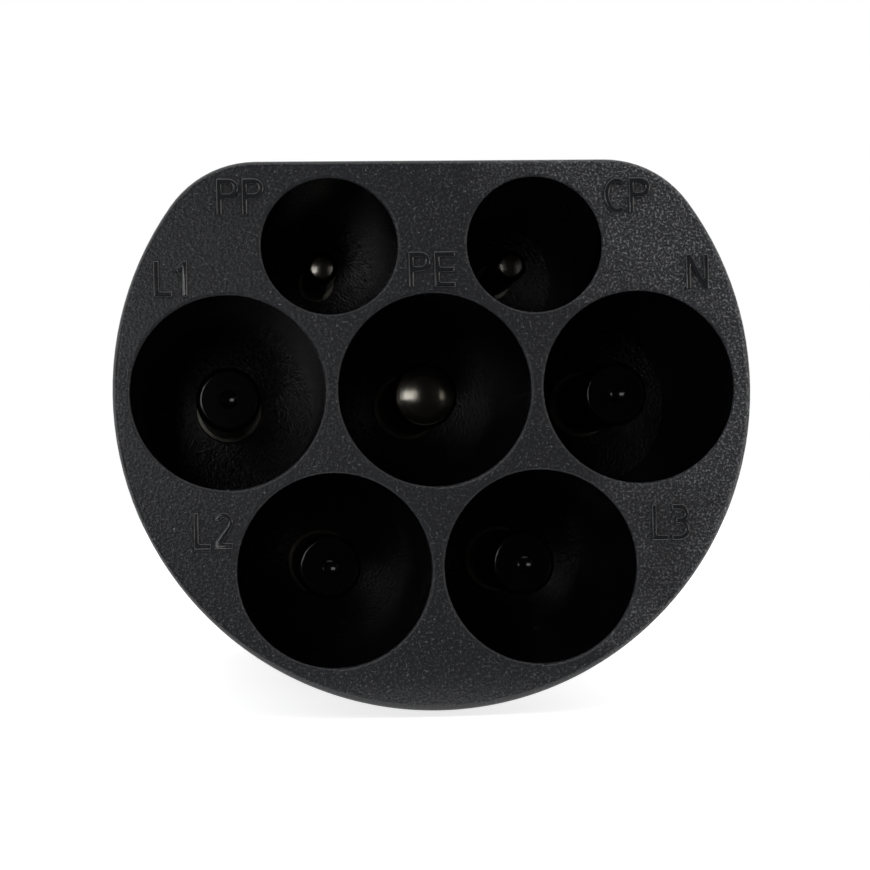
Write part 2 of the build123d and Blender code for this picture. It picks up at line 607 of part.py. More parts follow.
os.makedirs("parts", exist_ok=True)
on_its_underside = Pos(0, -NUT_REAR / 2, BELLY_DROP)
for part_name, part in make_parts().items():
    export_step(on_its_underside * part, f"parts/{part_name}.step")
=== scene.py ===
"""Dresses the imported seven-pin charging plug: its finishes, its raised pin lettering and a studio.

Lengths are in metres, in the plug's own frame: +Y runs from the face to the rear, +Z is up.
"""
import math

import bmesh
import bpy
from bpy.props import FloatProperty, FloatVectorProperty, PointerProperty
from mathutils import Matrix, Vector


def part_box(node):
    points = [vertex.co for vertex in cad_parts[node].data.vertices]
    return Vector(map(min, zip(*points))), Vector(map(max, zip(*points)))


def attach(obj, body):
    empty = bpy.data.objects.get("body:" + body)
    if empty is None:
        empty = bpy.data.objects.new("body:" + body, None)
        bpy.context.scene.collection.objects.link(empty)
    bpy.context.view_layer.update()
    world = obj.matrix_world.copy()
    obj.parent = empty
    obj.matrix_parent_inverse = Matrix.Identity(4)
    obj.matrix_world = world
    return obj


bl_info = {
    "name": "Charging Plug Look",
    "version": (1, 0, 0),
    "blender": (4, 5, 0),
    "location": "3D View > Sidebar > Charging Plug",
    "description": "Finishes, raised pin lettering and a studio for a seven-pin charging plug",
    "category": "Object",
}

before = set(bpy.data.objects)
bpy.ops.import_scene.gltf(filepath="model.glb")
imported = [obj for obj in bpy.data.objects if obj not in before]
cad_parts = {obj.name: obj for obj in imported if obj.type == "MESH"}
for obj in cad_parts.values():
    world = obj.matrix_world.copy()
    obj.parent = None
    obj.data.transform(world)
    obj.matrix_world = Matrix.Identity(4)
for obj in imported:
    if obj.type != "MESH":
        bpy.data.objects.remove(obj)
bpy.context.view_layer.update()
MM = 0.001

# Index of refraction of moulded nylon
NYLON_IOR = 1.53

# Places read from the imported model
FACE_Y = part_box("plug_nose")[0].y
NOSE_LOW, NOSE_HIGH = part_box("plug_nose")


def pin_axis(pin):
    """Middle of a pin's axis as x and z."""
    low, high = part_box(pin)
    return (low.x + high.x) / 2, (low.z + high.z) / 2


AXIS_X, AXIS_Z = pin_axis("pe_pin")

# Raised pin designations: text, and the middle, width and height on the face in millimetres,
# with x and z from the axis of the earth pin. The places and sizes are measured on the photograph.
DESIGNATIONS = [
    ("PP", -16.79, 17.05, 4.15, 3.25),
    ("CP", 17.33, 16.92, 4.20, 3.20),
    ("L1", -22.93, 9.94, 2.98, 3.20),
    ("PE", -0.10, 10.53, 4.17, 3.20),
    ("N", 23.45, 10.07, 2.08, 3.20),
    ("L2", -19.55, -12.02, 3.45, 3.20),
    ("L3", 20.59, -12.01, 3.40, 3.20),
]


def arc(x, z, width, height, start, end, steps=9):
    """Points of an elliptical arc in degrees, about a middle and inside a width and a height."""
    angles = [math.radians(start + (end - start) * step / steps) for step in range(steps + 1)]
    return [(x + width / 2 * math.cos(a), z + height / 2 * math.sin(a)) for a in angles]


# Outlines of the characters in millimetres, 3.2 high with strokes of about 0.5
GLYPHS = {
    "C": [arc(1.15, 1.6, 2.3, 3.2, 50, 310, 22) + arc(1.15, 1.6, 1.26, 2.16, 302, 58, 22)],
    "E": [
        [(0, 0), (1.87, 0), (1.87, 0.52), (0.52, 0.52), (0.52, 1.34), (1.8, 1.34)]
        + [(1.8, 1.86), (0.52, 1.86), (0.52, 2.68), (1.87, 2.68), (1.87, 3.2), (0, 3.2)]
    ],
    "L": [[(0, 0), (1.62, 0), (1.62, 0.52), (0.5, 0.52), (0.5, 3.2), (0, 3.2)]],
    "N": [
        [(0, 0), (0.5, 0), (0.5, 2.16), (1.56, 0), (2.08, 0), (2.08, 3.2), (1.58, 3.2), (1.58, 1.04)]
        + [(0.52, 3.2), (0, 3.2)]
    ],
    "P": [
        [(0, 0), (0.5, 0), (0.5, 1.4)] + arc(1.05, 2.3, 1.8, 1.8, -90, 90) + [(0, 3.2)],
        [(0.5, 1.92), (0.5, 2.68)] + arc(1.05, 2.3, 0.76, 0.76, 90, -90),
    ],
    "1": [[(0.5, 0), (1.0, 0), (1.0, 3.2), (0.62, 3.2), (0, 2.62), (0, 2.1), (0.5, 2.46)]],
    "2": [
        [(0, 0), (1.76, 0), (1.76, 0.55), (0.78, 0.55)]
        + arc(0.87, 2.3, 1.78, 1.8, -38, 168, 16)
        + arc(0.87, 2.3, 0.76, 0.8, 160, -36, 12)
        + [(0, 0.6)]
    ],
    "3": [
        [(0, 0)] + arc(0.84, 0.9, 1.9, 1.8, -90, 62, 12) + arc(0.84, 2.36, 1.8, 1.68, -58, 90, 12)
        + [(0.02, 3.2), (0.02, 2.68)] + arc(0.84, 2.34, 0.8, 0.68, 90, -90, 8)
        + [(0.4, 2.0), (0.4, 1.48)] + arc(0.84, 0.98, 0.88, 0.96, 90, -90, 8) + [(0, 0.5)]
    ],
}
GLYPH_GAP = 0.27

# Angle between two faces of a letter from which their edge is drawn sharp
SHARP_ANGLE = math.radians(50)


def linear(code):
    """Linear colour of an sRGB hex value."""
    parts = [int(code[i : i + 2], 16) / 255 for i in (1, 3, 5)]
    return [c / 12.92 if c <= 0.04045 else ((c + 0.055) / 1.055) ** 2.4 for c in parts] + [1.0]


class LetteringSettings(bpy.types.PropertyGroup):
    relief: FloatProperty(
        name="Relief",
        description="Height of the letters above the face",
        default=0.28 * MM,
        unit="LENGTH",
    )
    edge_radius: FloatProperty(
        name="Edge Radius",
        description="Rounding of the letters' upper edges",
        default=0.16 * MM,
        unit="LENGTH",
    )


class FinishSettings(bpy.types.PropertyGroup):
    nose_color: FloatVectorProperty(
        name="Nose Colour",
        description="Colour of the nose's black nylon",
        subtype="COLOR",
        size=4,
        min=0,
        max=1,
        default=linear("#1E1F22"),
    )
    housing_color: FloatVectorProperty(
        name="Housing Colour",
        description="Colour of the housing's black nylon",
        subtype="COLOR",
        size=4,
        min=0,
        max=1,
        default=linear("#1B1C1E"),
    )
    grain: FloatProperty(
        name="Grain",
        description="Width of one grain of the nose's spark-eroded texture",
        default=0.17 * MM,
        unit="LENGTH",
    )
    silver_color: FloatVectorProperty(
        name="Contact Colour",
        description="Colour of the pins' silver plating",
        subtype="COLOR",
        size=4,
        min=0,
        max=1,
        default=linear("#A4A29C"),
    )


class StudioSettings(bpy.types.PropertyGroup):
    left_power: FloatProperty(
        name="Left Softbox",
        description="Power of the softbox to the left of the camera",
        default=0.27,
        unit="POWER",
    )
    right_power: FloatProperty(
        name="Right Softbox",
        description="Power of the softbox to the right of the camera",
        default=0.37,
        unit="POWER",
    )
    room_light: FloatProperty(
        name="Room Light",
        description="Strength of the even light from all round",
        default=0.9,
        min=0,
    )
    floor_color: FloatVectorProperty(
        name="Floor Colour",
        description="Colour of the pale floor",
        subtype="COLOR",
        size=4,
        min=0,
        max=1,
        default=linear("#E6E6E6"),
    )


def add_node(tree, kind, sockets=None, **settings):
    """Adds a node, sets its properties, and fills its sockets with values or links from other nodes."""
    node = tree.nodes.new(kind)
    for name, value in settings.items():
        setattr(node, name, value)
    for key, value in (sockets or {}).items():
        if isinstance(value, tuple) and isinstance(value[0], bpy.types.Node):
            tree.links.new(value[0].outputs[value[1]], node.inputs[key])
        else:
            node.inputs[key].default_value = value
    return node


def start_material(name):
    """New material, its tree, and a node of millimetres from the earth pin's axis at the face."""
    material = bpy.data.materials.new(name)
    material.use_nodes = True
    tree = material.node_tree
    tree.nodes.clear()
    place = add_node(tree, "ShaderNodeTexCoord")
    centre = (-AXIS_X / MM, -FACE_Y / MM, -AXIS_Z / MM)
    millimetres = add_node(
        tree,
        "ShaderNodeMapping",
        {"Vector": (place, "Object"), "Scale": (1 / MM,) * 3, "Location": centre},
    )
    return material, tree, millimetres


def finish_material(tree, shader):
    """Joins a shader to the material's output."""
    add_node(tree, "ShaderNodeOutputMaterial", {"Surface": (shader, 0)})


def eroded_grain(tree, millimetres, grain, rise):
    """Fine noise and bump of a spark-eroded surface, from the width and the height of one grain."""
    grains_per_mm = 1 / (grain / MM)
    noise_scale = 0.8 * grains_per_mm
    pit_scale = 0.75 * grains_per_mm
    fine = add_node(
        tree,
        "ShaderNodeTexNoise",
        {
            "Vector": (millimetres, 0),
            "Scale": noise_scale,
            "Detail": 2.5,
            "Roughness": 0.6,
            "Distortion": 0.3,
        },
    )
    pits = add_node(
        tree,
        "ShaderNodeTexVoronoi",
        {"Vector": (millimetres, 0), "Scale": pit_scale, "Randomness": 1.0},
        feature="SMOOTH_F1",
    )
    height = add_node(
        tree, "ShaderNodeMath", {0: (fine, "Fac"), 1: (pits, "Distance")}, operation="ADD"
    )
    bump = add_node(
        tree, "ShaderNodeBump", {"Height": (height, 0), "Strength": 1.0, "Distance": rise}
    )
    return fine, bump


def inside_chambers(tree, millimetres):
    """Mask of the chambers' walls: within the nose's rim and behind its face."""
    parts = add_node(tree, "ShaderNodeSeparateXYZ", {0: (millimetres, 0)})
    flat = add_node(tree, "ShaderNodeCombineXYZ", {"X": (parts, "X"), "Y": (parts, "Z")})
    radius = add_node(tree, "ShaderNodeVectorMath", {0: (flat, 0)}, operation="LENGTH")
    # In millimetres: inside this rim there are only chambers, and their mouths are rounded between
    # these two depths
    rim = 1.1
    mouth_start = 0.3
    mouth_end = 0.7
    wide = (NOSE_HIGH.x - NOSE_LOW.x) / 2 / MM - rim
    top = (NOSE_HIGH.z - AXIS_Z) / MM - rim
    near = add_node(tree, "ShaderNodeMath", {0: (radius, "Value"), 1: wide}, operation="LESS_THAN")
    below = add_node(tree, "ShaderNodeMath", {0: (parts, "Z"), 1: top}, operation="LESS_THAN")
    behind = add_node(
        tree,
        "ShaderNodeMapRange",
        {"Value": (parts, "Y"), "From Min": mouth_start, "From Max": mouth_end},
    )
    both = add_node(tree, "ShaderNodeMath", {0: (near, 0), 1: (below, 0)}, operation="MULTIPLY")
    return add_node(tree, "ShaderNodeMath", {0: (both, 0), 1: (behind, 0)}, operation="MULTIPLY")


def grain_and_sheen_share(tree, millimetres):
    """How coarse the face is, and where its colour gets a lighter painted sheen: nearly smooth at the
    left and middle, coarse and sheened at the right and its top.
    """
    # The coarseness is measured in millimetres to the right. Height above a level adds to it, and
    # patches about 5 mm wide make its border uneven.
    level = 5.0
    added_by_height = 0.8
    patches_per_mm = 0.22
    added_by_patches = 26.0
    smooth_until = 24.0
    coarse_from = 40.0
    smooth_share = 0.17
    parts = add_node(tree, "ShaderNodeSeparateXYZ", {0: (millimetres, 0)})
    above = add_node(tree, "ShaderNodeMath", {0: (parts, "Z"), 1: level}, operation="SUBTRACT")
    raised = add_node(tree, "ShaderNodeMath", {0: (above, 0), 1: 0.0}, operation="MAXIMUM")
    slanted = add_node(
        tree,
        "ShaderNodeMath",
        {0: (raised, 0), 1: added_by_height, 2: (parts, "X")},
        operation="MULTIPLY_ADD",
    )
    patches = add_node(
        tree, "ShaderNodeTexNoise", {"Vector": (millimetres, 0), "Scale": patches_per_mm, "Detail": 3.0}
    )
    uneven = add_node(
        tree,
        "ShaderNodeMath",
        {0: (patches, "Fac"), 1: added_by_patches, 2: (slanted, 0)},
        operation="MULTIPLY_ADD",
    )
    return add_node(
        tree,
        "ShaderNodeMapRange",
        {
            "Value": (uneven, 0),
            "From Min": smooth_until,
            "From Max": coarse_from,
            "To Min": smooth_share,
            "To Max": 1.0,
        },
    )


def make_nose_nylon(settings):
    """Glass-filled black nylon 66 moulded against a spark-eroded steel face."""
    # The eye sees a fine, uneven grain that is smoother where the mould is worn, at the left and
    # middle.
    # Its colour also holds painted light: light grey painted glints in single spots, a lighter painted
    # sheen where the grain is coarse, and painted shade that makes the chambers near black. The
    # chambers come off polished core pins, so they are smoother.
    material, tree, millimetres = start_material("spark_eroded_nylon")
    grain_height = 0.14 * MM
    nick_height = 0.05 * MM
    # Single pits of about 0.3 mm, also on the smooth side, which are bumped and also given painted
    # glints in the colour
    nicks_per_mm = 3.6
    share = grain_and_sheen_share(tree, millimetres)
    chamber = inside_chambers(tree, millimetres)
    relief = add_node(
        tree, "ShaderNodeMapRange", {"Value": (chamber, 0), "To Min": 1.0, "To Max": 0.5}
    )
    grain_relief = add_node(
        tree, "ShaderNodeMath", {0: (share, 0), 1: (relief, 0)}, operation="MULTIPLY"
    )
    fine, grain_bump = eroded_grain(tree, millimetres, settings.grain, grain_height)
    tree.links.new(grain_relief.outputs[0], grain_bump.inputs["Strength"])
    scattered = add_node(
        tree,
        "ShaderNodeTexNoise",
        {"Vector": (millimetres, 0), "Scale": nicks_per_mm, "Detail": 3.0, "Roughness": 0.7},
    )
    nicks_and_painted_glints = add_node(
        tree,
        "ShaderNodeMapRange",
        {"Value": (scattered, "Fac"), "From Min": 0.6, "From Max": 0.7, "To Max": 0.9},
    )
    bump = add_node(
        tree,
        "ShaderNodeBump",
        {
            "Strength": (relief, 0),
            "Height": (nicks_and_painted_glints, 0),
            "Distance": nick_height,
            "Normal": (grain_bump, 0),
        },
    )
    # Painted glints: light grey spots in the colour where the fine noise peaks, mostly where the grain
    # is coarse, and on the single pits
    painted_glint_spots = add_node(
        tree,
        "ShaderNodeMapRange",
        {"Value": (fine, "Fac"), "From Min": 0.53, "From Max": 0.64, "To Max": 1.0},
    )
    painted_glint_share = add_node(
        tree, "ShaderNodeMath", {0: (painted_glint_spots, 0), 1: (share, 0)}, operation="MULTIPLY"
    )
    glints = add_node(tree, "ShaderNodeMath", {0: (painted_glint_share, 0), 1: (nicks_and_painted_glints, 0)}, operation="MAXIMUM")
    # Painted sheen: the colour is lighter where the grain is coarse, standing in for the side light on
    # the right and top
    color_with_painted_sheen = add_node(
        tree,
        "ShaderNodeMix",
        {0: (share, 0), 6: settings.nose_color, 7: linear("#232427")},
        data_type="RGBA",
    )
    color_with_painted_glints = add_node(
        tree,
        "ShaderNodeMix",
        {0: (glints, 0), 6: (color_with_painted_sheen, 2), 7: linear("#6C6D71")},
        data_type="RGBA",
    )
    # Painted shade: the chamber walls are coloured near black, standing in for the shade deep in the
    # chambers
    color = add_node(
        tree,
        "ShaderNodeMix",
        {0: (chamber, 0), 6: (color_with_painted_glints, 2), 7: linear("#020203")},
        data_type="RGBA",
    )
    roughness = add_node(
        tree,
        "ShaderNodeMapRange",
        {"Value": (chamber, 0), "To Min": 0.3, "To Max": 0.15},
    )
    shader = add_node(
        tree,
        "ShaderNodeBsdfPrincipled",
        {
            "Base Color": (color, 2),
            "Roughness": (roughness, 0),
            "Normal": (bump, 0),
            "IOR": NYLON_IOR,
        },
    )
    finish_material(tree, shader)
    return material


def make_letter_nylon():
    """The same nylon on the raised strokes, which are milled in the mould and not eroded."""
    # The eye sees smooth, slightly darker strokes whose rounded edges catch the side light.
    material, tree, millimetres = start_material("milled_nylon_letters")
    cutter_marks_per_mm = 2.2
    mark_height = 0.015 * MM
    swirl = add_node(
        tree,
        "ShaderNodeTexNoise",
        {"Vector": (millimetres, 0), "Scale": cutter_marks_per_mm, "Detail": 3.0},
    )
    bump = add_node(tree, "ShaderNodeBump", {"Height": (swirl, "Fac"), "Distance": mark_height})
    shade = add_node(
        tree,
        "ShaderNodeMix",
        {0: (swirl, "Fac"), 6: linear("#17181A"), 7: linear("#202124")},
        data_type="RGBA",
    )
    shader = add_node(
        tree,
        "ShaderNodeBsdfPrincipled",
        {
            "Base Color": (shade, 2),
            "Roughness": 0.18,
            "Normal": (bump, 0),
            "IOR": NYLON_IOR,
            "Specular IOR Level": 0.95,
        },
    )
    finish_material(tree, shader)
    return material


def make_moulded_nylon(name, dark, light, grain, rise, roughness):
    """Black or grey nylon with a plain moulded grain."""
    material, tree, millimetres = start_material(name)
    clouds_per_mm = 0.08
    fine, bump = eroded_grain(tree, millimetres, grain, rise)
    cloud = add_node(
        tree, "ShaderNodeTexNoise", {"Vector": (millimetres, 0), "Scale": clouds_per_mm, "Detail": 3.0}
    )
    both = add_node(
        tree, "ShaderNodeMath", {0: (fine, "Fac"), 1: (cloud, "Fac")}, operation="MULTIPLY"
    )
    share = add_node(
        tree, "ShaderNodeMapRange", {"Value": (both, 0), "From Min": 0.15, "From Max": 0.42}
    )
    color = add_node(
        tree, "ShaderNodeMix", {0: (share, 0), 6: dark, 7: light}, data_type="RGBA"
    )
    shader = add_node(
        tree,
        "ShaderNodeBsdfPrincipled",
        {
            "Base Color": (color, 2),
            "Roughness": roughness,
            "Normal": (bump, 0),
            "IOR": NYLON_IOR,
            "Specular IOR Level": 0.4,
        },
    )
    finish_material(tree, shader)
    return material


def make_pin_silver(pin, settings):
    """Silver plating on a turned brass pin."""
    # The eye sees a bright, slightly warm dome with faint turning rings about its own axis and a
    # soft uneven tarnish.
    material, tree, millimetres = start_material("turned_silver_plate_" + pin)
    x, z = pin_axis(pin)
    centred = add_node(
        tree,
        "ShaderNodeMapping",
        {"Vector": (millimetres, 0), "Location": ((AXIS_X - x) / MM, 0, (AXIS_Z - z) / MM)},
    )
    # Turning marks of about 0.05 mm, drawn 0.14 mm apart so that they show. A wave texture of
    # scale 1 repeats every 0.314.
    mark_spacing = 0.14
    marks_scale = 0.314 / mark_spacing
    mark_height = 0.0012 * MM
    stains_per_mm = 0.6
    rings = add_node(
        tree,
        "ShaderNodeTexWave",
        {"Vector": (centred, 0), "Scale": marks_scale, "Distortion": 0.4, "Detail": 1.0},
        wave_type="RINGS",
        rings_direction="Y",
    )
    feed = add_node(
        tree,
        "ShaderNodeTexWave",
        {"Vector": (centred, 0), "Scale": marks_scale, "Distortion": 0.3, "Detail": 1.0},
        wave_type="BANDS",
        bands_direction="Y",
    )
    marks = add_node(tree, "ShaderNodeMath", {0: (rings, "Fac"), 1: (feed, "Fac")}, operation="ADD")
    bump = add_node(tree, "ShaderNodeBump", {"Height": (marks, 0), "Distance": mark_height})
    tarnish = add_node(
        tree, "ShaderNodeTexNoise", {"Vector": (centred, 0), "Scale": stains_per_mm, "Detail": 4.0}
    )
    color = add_node(
        tree,
        "ShaderNodeMix",
        {0: (tarnish, "Fac"), 6: settings.silver_color, 7: linear("#6C665A")},
        data_type="RGBA",
    )
    roughness = add_node(
        tree, "ShaderNodeMapRange", {"Value": (tarnish, "Fac"), "To Min": 0.1, "To Max": 0.22}
    )
    shader = add_node(
        tree,
        "ShaderNodeBsdfPrincipled",
        {"Base Color": (color, 2), "Metallic": 1.0, "Roughness": (roughness, 0), "Normal": (bump, 0)},
    )
    finish_material(tree, shader)
    return material


def make_smooth_material(name, dark, light, patch_mm, roughness, metallic=0.0):
    """A smooth moulded, rubbery or plated surface with faint patches of a given width."""
    material, tree, millimetres = start_material(name)
    patch_height = 0.01 * patch_mm * MM
    patches = add_node(
        tree, "ShaderNodeTexNoise", {"Vector": (millimetres, 0), "Scale": 1 / patch_mm, "Detail": 4.0}
    )
    color = add_node(
        tree, "ShaderNodeMix", {0: (patches, "Fac"), 6: dark, 7: light}, data_type="RGBA"
    )
    bump = add_node(tree, "ShaderNodeBump", {"Height": (patches, "Fac"), "Distance": patch_height})
    rough = add_node(
        tree,
        "ShaderNodeMapRange",
        {"Value": (patches, "Fac"), "To Min": roughness * 0.85, "To Max": roughness * 1.15},
    )
    shader = add_node(
        tree,
        "ShaderNodeBsdfPrincipled",
        {"Base Color": (color, 2), "Metallic": metallic, "Roughness": (rough, 0), "Normal": (bump, 0)},
    )
    finish_material(tree, shader)
    return material


def dress(material, *nodes):
    """Gives a material to every slot of the named nodes."""
    for node in nodes:
        mesh_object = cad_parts[node]
        if not mesh_object.material_slots:
            mesh_object.data.materials.append(material)
        for slot in mesh_object.material_slots:
            slot.material = material


class PLUG_OT_finish_nose(bpy.types.Operator):
    """Give the nose, and the carrier that closes it, their grained nylon"""

    bl_idname = "charging_plug.finish_nose"
    bl_label = "Finish Nose"

    def execute(self, context):
        settings = context.scene.plug_finishes
        dress(make_nose_nylon(settings), "plug_nose", "contact_carrier")
        return {"FINISHED"}


class PLUG_OT_raise_designations(bpy.types.Operator):
    """Model the raised pin designations on the face of the nose"""

    bl_idname = "charging_plug.raise_designations"
    bl_label = "Raise Pin Designations"

    def execute(self, context):
        settings = context.scene.plug_lettering
        joined = bmesh.new()
        for text, x, z, width, height in DESIGNATIONS:
            letters = letter_mesh(text, settings, width * MM, height * MM)
            letters.transform(Matrix.Translation((AXIS_X + x * MM, FACE_Y, AXIS_Z + z * MM)))
            joined.from_mesh(letters)
            bpy.data.meshes.remove(letters)
        bmesh.ops.recalc_face_normals(joined, faces=joined.faces)
        mesh = bpy.data.meshes.new("pin_designations")
        joined.to_mesh(mesh)
        joined.free()
        mesh.materials.append(make_letter_nylon())
        mesh.shade_smooth()
        mesh.set_sharp_from_angle(angle=SHARP_ANGLE)
        piece = bpy.data.objects.new("pin_designations", mesh)
        context.scene.collection.objects.link(piece)
        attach(piece, "root")
        return {"FINISHED"}


def soften(outline):
    """Closed outline whose corners are cut back and rounded."""
    # In millimetres, and no more than this share of an edge at each of its ends
    reach = 0.1
    most = 0.45
    points = [Vector(point) for point in outline]
    rounded = []
    for before, corner, after in zip(points[-1:] + points[:-1], points, points[1:] + points[:1]):
        ends = []
        for side in (before, after):
            edge = side - corner
            ends.append(corner + edge * min(reach / max(edge.length, reach), most))
        rounded += [ends[0], (ends[0] + 2 * corner + ends[1]) / 4, ends[1]]
    return rounded


def letter_mesh(text, settings, width, height):
    """Raised letters as a closed mesh, facing the front and centred on their own middle."""
    # Points of the curve's mesh that lie nearer than this are one point
    merge_distance = 1e-7
    curve = bpy.data.curves.new("letters", "CURVE")
    curve.dimensions = "2D"
    curve.fill_mode = "BOTH"
    curve.offset = -settings.edge_radius
    curve.extrude = settings.relief - settings.edge_radius
    curve.bevel_depth = settings.edge_radius
    curve.bevel_resolution = 3
    advance = 0
    for character in text:
        for outline in GLYPHS[character]:
            points = soften(outline)
            spline = curve.splines.new("POLY")
            spline.points.add(len(points) - 1)
            for point, place in zip(spline.points, points):
                point.co = ((place.x + advance) * MM, place.y * MM, 0, 1)
            spline.use_cyclic_u = True
        advance += max(x for x, _ in GLYPHS[character][0]) + GLYPH_GAP
    holder = bpy.data.objects.new("letters", curve)
    mesh = bpy.data.meshes.new_from_object(holder)
    bpy.data.objects.remove(holder)
    bpy.data.curves.remove(curve)
    shape = bmesh.new()
    shape.from_mesh(mesh)
    bmesh.ops.remove_doubles(shape, verts=shape.verts, dist=merge_distance)
    xs = [v.co.x for v in shape.verts]
    ys = [v.co.y for v in shape.verts]
    middle = Vector(((min(xs) + max(xs)) / 2, (min(ys) + max(ys)) / 2, 0))
    bmesh.ops.translate(shape, verts=shape.verts, vec=-middle)
    fit = (width / (max(xs) - min(xs)), height / (max(ys) - min(ys)), 1)
    bmesh.ops.scale(shape, verts=shape.verts, vec=fit)
    bmesh.ops.rotate(shape, verts=shape.verts, matrix=Matrix.Rotation(math.radians(90), 3, "X"))
    shape.to_mesh(mesh)
    shape.free()
    return mesh


class PLUG_OT_finish_contacts(bpy.types.Operator):
    """Plate the pins and give their tips, screws and resistor their finishes"""

    bl_idname = "charging_plug.finish_contacts"
    bl_label = "Finish Contacts"

    def execute(self, context):
        settings = context.scene.plug_finishes
        for pin in ("pe_pin", "l1_pin", "l2_pin", "l3_pin", "n_pin", "pp_pin", "cp_pin"):
            dress(make_pin_silver(pin, settings), pin)
        # Black glass-filled PBT off a polished mould; its colour is black and is also darkened further
        # as painted shade of its deep chamber. It mirrors the dark boards and is lost in its chamber,
        # but for a crescent of light
        caps = make_smooth_material(
            "moulded_pbt_caps", linear("#030304"), linear("#060607"), patch_mm=1.5, roughness=0.12
        )
        dress(caps, "l1_tip_cap", "l2_tip_cap", "l3_tip_cap", "n_tip_cap")
        # Bright zinc plate: a cool metal with soft patches
        zinc = make_smooth_material(
            "zinc_plated_steel",
            linear("#B4B6B8"),
            linear("#D2D3D4"),
            patch_mm=1.2,
            roughness=0.32,
            metallic=1.0,
        )
        dress(zinc, "power_terminal_screws", "signal_terminal_screws")
        dress(zinc, "retainer_screws", "housing_screws")
        # Lacquered ceramic: a pale blue-grey gloss
        ceramic = make_smooth_material(
            "lacquered_ceramic", linear("#9FB3BE"), linear("#B4C6D0"), patch_mm=0.8, roughness=0.3
        )
        dress(ceramic, "coding_resistor")
        return {"FINISHED"}


class PLUG_OT_finish_seals(bpy.types.Operator):
    """Give the gasket and the seals their rubber"""

    bl_idname = "charging_plug.finish_seals"
    bl_label = "Finish Seals"

    def execute(self, context):
        # Moulded EPDM: dull and even, with a faint bloom
        rubber = make_smooth_material(
            "moulded_epdm_rubber", linear("#1A1A1B"), linear("#242425"), patch_mm=2.5, roughness=0.72
        )
        dress(rubber, "collar_gasket", "power_pin_seals", "signal_pin_seals", "gland_seal")
        return {"FINISHED"}


class PLUG_OT_finish_housing(bpy.types.Operator):
    """Give the housing halves, the retainer and the gland their nylon"""

    bl_idname = "charging_plug.finish_housing"
    bl_label = "Finish Housing and Gland"

    def execute(self, context):
        settings = context.scene.plug_finishes
        # Textured PA6: an even, dull leather-fine grain for the grip
        housing = make_moulded_nylon(
            "textured_nylon_housing",
            settings.housing_color,
            linear("#2C2D30"),
            grain=0.35 * MM,
            rise=0.02 * MM,
            roughness=0.55,
        )
        dress(housing, "upper_housing", "lower_housing")
        # Moulded PA6 of a cable gland: smoother, with a soft sheen
        gland = make_moulded_nylon(
            "moulded_nylon_gland",
            linear("#161617"),
            linear("#222224"),
            grain=0.5 * MM,
            rise=0.006 * MM,
            roughness=0.38,
        )
        dress(gland, "gland_body", "gland_cage", "gland_nut")
        # Uncoloured PA66: a dull pale grey plate, seen only when the plug is opened
        retainer = make_moulded_nylon(
            "natural_nylon_retainer",
            linear("#807F7C"),
            linear("#94938F"),
            grain=0.4 * MM,
            rise=0.008 * MM,
            roughness=0.5,
        )
        dress(retainer, "contact_retainer")
        return {"FINISHED"}


# Softboxes: the lamp's place and its width and height in metres, and its tint
LEFT_SOFTBOX = ((-0.225, -0.637, 0.04), (0.24, 0.26), "#FFFFFF")
RIGHT_SOFTBOX = ((0.40, -0.527, 0.06), (0.30, 0.26), "#FFF4E2")


class PLUG_OT_build_studio(bpy.types.Operator):
    """Set up the pale floor, the soft lamps and the camera"""

    bl_idname = "charging_plug.build_studio"
    bl_label = "Build Studio"

    def execute(self, context):
        settings = context.scene.plug_studio
        build_floor(settings)
        build_room(context, settings)
        add_softbox("left_softbox", settings.left_power, *LEFT_SOFTBOX)
        add_softbox("right_softbox", settings.right_power, *RIGHT_SOFTBOX)
        build_flag()
        build_camera(context)
        context.scene.view_settings.view_transform = "Standard"
        return {"FINISHED"}


def rays_that_see(tree):
    """1 for camera, glossy and transmission rays, and 0 for rays that light the object."""
    path = add_node(tree, "ShaderNodeLightPath")
    glossy = add_node(
        tree,
        "ShaderNodeMath",
        {0: (path, "Is Camera Ray"), 1: (path, "Is Glossy Ray")},
        operation="MAXIMUM",
    )
    return add_node(
        tree,
        "ShaderNodeMath",
        {0: (glossy, 0), 1: (path, "Is Transmission Ray")},
        operation="MAXIMUM",
    )


def add_white_to_sight(tree, shader, strength):
    """Adds to a shader a white that is seen, also in gloss and glass, and lights nothing."""
    seen = rays_that_see(tree)
    power = add_node(tree, "ShaderNodeMath", {0: (seen, 0), 1: strength}, operation="MULTIPLY")
    white = add_node(tree, "ShaderNodeEmission", {"Color": linear("#FFFFFF"), "Strength": (power, 0)})
    return add_node(tree, "ShaderNodeAddShader", {0: (shader, 0), 1: (white, 0)})


def build_floor(settings):
    """Round pale floor under the plug, which keeps its soft shadow."""
    # The floor's radius in metres, and the white that brings its lit paper up to the room's
    reach = 3.0
    added_white = 0.75
    shape = bmesh.new()
    bmesh.ops.create_circle(shape, cap_ends=True, segments=96, radius=reach)
    mesh = bpy.data.meshes.new("floor")
    shape.to_mesh(mesh)
    shape.free()
    floor = bpy.data.objects.new("floor", mesh)
    bpy.context.scene.collection.objects.link(floor)
    material = bpy.data.materials.new("matt_floor_paper")
    material.use_nodes = True
    tree = material.node_tree
    tree.nodes.clear()
    paper = add_node(tree, "ShaderNodeBsdfDiffuse", {"Color": settings.floor_color})
    seen = add_white_to_sight(tree, paper, added_white)
    finish_material(tree, seen)
    mesh.materials.append(material)


